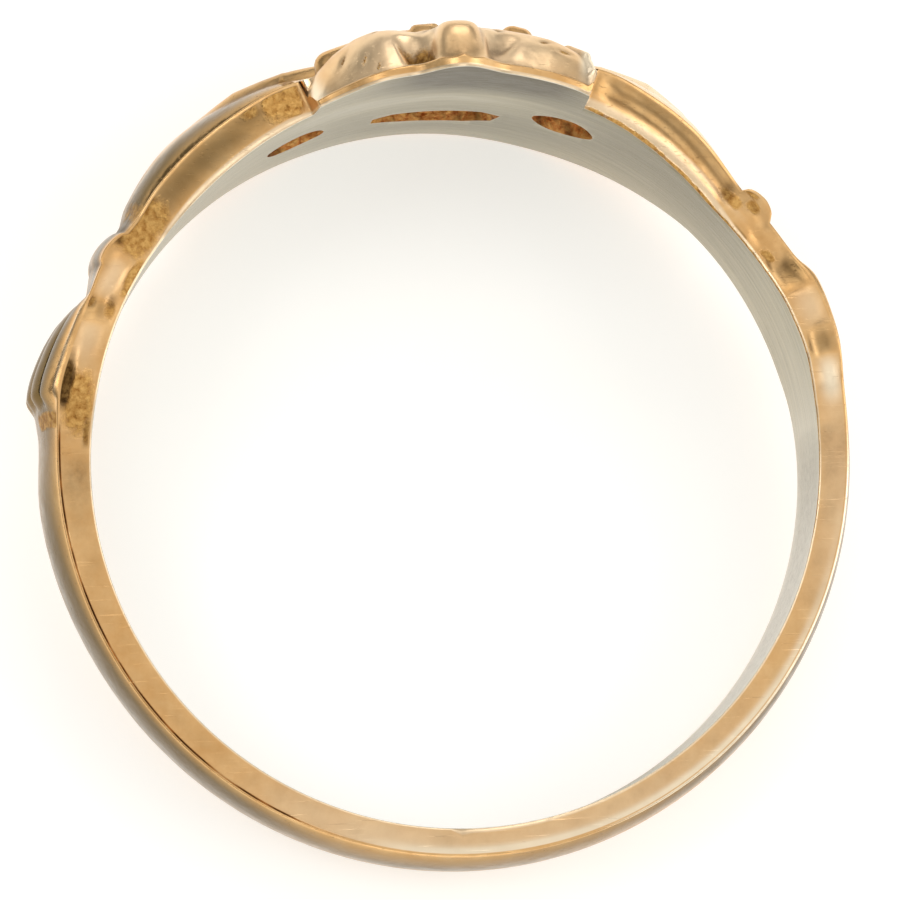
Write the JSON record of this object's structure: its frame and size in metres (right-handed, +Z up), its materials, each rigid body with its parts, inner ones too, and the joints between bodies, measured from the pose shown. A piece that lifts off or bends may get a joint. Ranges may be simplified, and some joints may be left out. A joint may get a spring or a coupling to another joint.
{
  "type": "claddagh ring",
  "caption": "Cast finger ring: cuffed hands hold a domed heart under a crown on a pierced head, on a tapering D-section shank.",
  "frame": {"origin": "middle of the ring's outline on the surface it lies on", "axes": "+Z up, the crown side of the head; +Y toward the head; the finger hole's axis leans about 7 degrees from +Z toward -Y, because the ring rests on the lower edge of its wide head and on the back of its narrow shank"},
  "size_m": [0.0206, 0.0212, 0.0094],
  "materials": {
    "gold": "cast yellow gold of a rosy shade, polished and worn, duller in the recesses"
  },
  "bodies": {
    "root": {"ring": "gold"}
  },
  "joints": []
}
